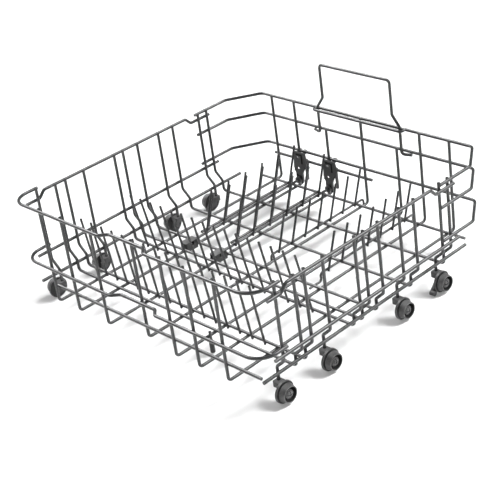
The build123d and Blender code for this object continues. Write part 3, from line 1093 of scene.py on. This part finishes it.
@dataclass
class TurnedWheel:
    """A flanged wheel turned about its pin: drum, rim and hub painted paler, partly as worn surface
    and partly as painted light, and the ring groove, flange face, neck and bore darkened as painted
    shade.
    """

    node: str
    width: float = 14.0
    bore_radius: float = 4.46
    flange_radius: float = 17.0
    flange_width: float = 3.4
    neck_radius: float = 13.0
    neck_width: float = 1.8
    drum_radius: float = 14.5
    rim_radius: float = 12.5
    groove_radius: float = 11.1
    groove_depth: float = 10.0
    hub_radius: float = 6.9
    hub_recess: float = 2.5
    edge: float = 0.45
    edge_share: float = 0.4
    arc_steps: int = 3
    segments: int = 72

    def _profile(self) -> list[TurnedSide]:
        """Lay out the wheel's section, from its inner face over the drum and the groove to the bore.

        Returns:
            The sides in order.
        """
        drum = self.flange_width + self.neck_width
        groove = self.width - self.groove_depth
        hub = self.width - self.hub_recess
        # Paleness per side is worn surface with painted light, on the flange rim, drum, outer face and
        # hub; darkness per side is painted shade, full in the ring groove
        return [
            TurnedSide(0.0, self.bore_radius, painted_shade=0.36),
            TurnedSide(0.0, self.flange_radius, wear_and_painted_light=0.05),
            TurnedSide(self.flange_width, self.flange_radius, painted_shade=0.3),
            TurnedSide(self.flange_width, self.neck_radius, painted_shade=0.5),
            TurnedSide(drum, self.neck_radius, painted_shade=0.3),
            TurnedSide(drum, self.drum_radius, wear_and_painted_light=0.35),
            TurnedSide(self.width, self.rim_radius, wear_and_painted_light=0.6),
            TurnedSide(self.width, self.groove_radius, painted_shade=1.0),
            TurnedSide(groove, self.groove_radius, painted_shade=1.0),
            TurnedSide(groove, self.hub_radius, painted_shade=1.0),
            TurnedSide(hub, self.hub_radius, wear_and_painted_light=0.35),
            TurnedSide(hub, self.bore_radius, painted_shade=0.5),
        ]

    def _outline(self) -> list[TurnedSide]:
        """Round the profile's corners.

        Returns:
            The rounded profile's sides.
        """
        outline: list[TurnedSide] = []
        profile = self._profile()
        for index, side in enumerate(profile):
            before, after = profile[index - 1], profile[(index + 1) % len(profile)]
            corner = Vector((side.along, side.radius))
            back = Vector((before.along, before.radius)) - corner
            ahead = Vector((after.along, after.radius)) - corner
            reach = min(self.edge, self.edge_share * back.length, self.edge_share * ahead.length)
            start, end = corner + back.normalized() * reach, corner + ahead.normalized() * reach
            # Proud corners turn fully pale as worn edges with painted highlight; sunk corners keep the
            # painted shade of their sides
            proud = back.cross(ahead) > 0.0
            wear_and_painted_light = 1.0 if proud else max(before.wear_and_painted_light, side.wear_and_painted_light)
            painted_shade = 0.0 if proud else max(before.painted_shade, side.painted_shade)
            for step in range(self.arc_steps):
                share = step / self.arc_steps
                spot = start.lerp(corner, share).lerp(corner.lerp(end, share), share)
                outline.append(TurnedSide(spot.x, spot.y, wear_and_painted_light, painted_shade))
            outline.append(TurnedSide(end.x, end.y, side.wear_and_painted_light, side.painted_shade))
        return outline

    def build(self) -> bpy.types.Object:
        """Turn the rounded profile about the wheel's pin.

        Returns:
            The wheel, with its paleness from worn surface and painted light, and its painted shade,
            marked.
        """
        low, high = (Vector(corner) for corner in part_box(self.node))
        middle = (low + high) / 2
        outward = math.copysign(1.0, middle.x)
        inner = min(abs(low.x), abs(high.x))
        bm = bmesh.new()
        wear_and_painted_light = bm.loops.layers.float.new(WEAR_AND_LIGHT_MARKS)
        painted_shade = bm.loops.layers.float.new(PAINTED_SHADE)
        outline = self._outline()
        rings = []
        for side in outline:
            x, radius = outward * (inner + side.along * MM), side.radius * MM
            rings.append([bm.verts.new((x, middle.y + radius * cosine, middle.z + radius * sine))
                          for cosine, sine in circle_steps(self.segments)])
        for number, side in enumerate(outline):
            near, far = rings[number], rings[(number + 1) % len(rings)]
            for index in range(self.segments):
                after = (index + 1) % self.segments
                face = bm.faces.new((near[index], near[after], far[after], far[index]))
                mark_face(face, wear_and_painted_light, side.wear_and_painted_light)
                mark_face(face, painted_shade, side.painted_shade)
        wheel = mesh_object(f"{self.node}_moulding", bm)
        wheel.modifiers.new("even_shading", "WEIGHTED_NORMAL").keep_sharp = True
        return wheel

    def dress(self, wardrobe: Wardrobe) -> None:
        """Build the wheel, give it its finish and let it stand for its node.

        Args:
            wardrobe: The basket's materials.
        """
        wheel = self.build()
        wardrobe.dress(wheel, Slot.WHEEL)
        wardrobe.dress(frame["nodes"][self.node], Slot.WHEEL)
        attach(wheel, body_of(self.node))
        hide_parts(self.node)
        LOG.info("%s: turned", wheel.name)


@dataclass
class WheelHolders(SoftMoulding):
    """The holders of one side, with the ends of their split pins painted paler as painted light."""

    pin_reach: float = 6.0
    # Painted light on the pin ends
    pin_painted_light: float = 0.9

    def mark_painted_light(self, bm: bmesh.types.BMesh, wear_and_painted_light: bmesh.types.BMLayerItem) -> None:
        """Mark painted light on the outermost ends of the pins.

        Args:
            bm: The holders' mesh.
            wear_and_painted_light: The layer that holds the paleness of worn surface and painted
                light.
        """
        outer = max(abs(vert.co.x) for vert in bm.verts)
        for face in bm.faces:
            if outer - abs(face.calc_center_median().x) < self.pin_reach * MM:
                mark_face(face, wear_and_painted_light, self.pin_painted_light)


@dataclass
class BearingBlock(SoftMoulding):
    """A block that carries a folding row, painted pale on top as painted light, its hollows darkened
    more strongly as painted shade.
    """

    # Stronger painted shade in the block's pockets
    painted_shade_gain: float = 1.7
    # Painted light on the top
    top_painted_light: float = 0.75
    top_slope: float = 0.6

    def mark_painted_light(self, bm: bmesh.types.BMesh, wear_and_painted_light: bmesh.types.BMLayerItem) -> None:
        """Mark painted light on what faces upwards.

        Args:
            bm: The block's mesh.
            wear_and_painted_light: The layer that holds the paleness of worn surface and painted
                light.
        """
        for face in bm.faces:
            if face.normal.z > self.top_slope:
                mark_face(face, wear_and_painted_light, self.top_painted_light)


@dataclass
class RunningGear:
    """Eight flanged wheels on the split pins of their holders."""

    wheels_per_side: int = 4
    holder_edge: float = 0.4

    def dress(self, wardrobe: Wardrobe) -> None:
        """Dress the holders and the wheels.

        Args:
            wardrobe: The basket's materials.
        """
        for side in Side:
            name = side.name.lower()
            WheelHolders(f"{name}_wheel_holders", Slot.HOLDER, self.holder_edge).dress(wardrobe)
            for number in range(1, self.wheels_per_side + 1):
                TurnedWheel(f"{name}_wheel_{number}").dress(wardrobe)


@dataclass
class FoldingRow:
    """One folding row of tines with its bearing block and latch."""

    name: str
    block_edge: float = 0.6
    latch_edge: float = 0.45

    def dress(self, wardrobe: Wardrobe) -> None:
        """Dress the row's wires and its two black mouldings.

        Args:
            wardrobe: The basket's materials.
        """
        wires = [f"{self.name}_fold_{piece}" for piece in ("axle", "brace", "tines")]
        wardrobe.dress_nodes(wires, Slot.WIRE)
        BearingBlock(f"{self.name}_row_bearing", Slot.BLACK, self.block_edge).dress(wardrobe)
        SoftMoulding(f"{self.name}_row_latch", Slot.BLACK, self.latch_edge).dress(wardrobe)


@dataclass
class SlidingSupport:
    """The loop behind the rear wall that slides up and down."""

    node: str = "rear_support"

    def dress(self, wardrobe: Wardrobe) -> None:
        """Dress the loop as the other wires are."""
        wardrobe.dress_nodes([self.node], Slot.WIRE)


@dataclass
class PegCap:
    """The black cap on the peg at the front."""

    node: str = "peg_cap"
    edge: float = 0.6

    def dress(self, wardrobe: Wardrobe) -> None:
        """Round and dress the cap."""
        SoftMoulding(self.node, Slot.BLACK, self.edge).dress(wardrobe)


def main() -> None:
    """Build the scene, one sub-assembly after another."""
    logging.basicConfig(level=logging.INFO, format="%(message)s")
    PhotoCamera().build()
    Studio().build()
    wardrobe = Wardrobe()
    WireFrame().dress(wardrobe)
    for row in ("outer", "inner"):
        FoldingRow(row).dress(wardrobe)
    for row in TINE_ROWS:
        TineTips(row).dress(wardrobe)
    RunningGear().dress(wardrobe)
    SlidingSupport().dress(wardrobe)
    PegCap().dress(wardrobe)


if __name__ == "__main__":
    main()
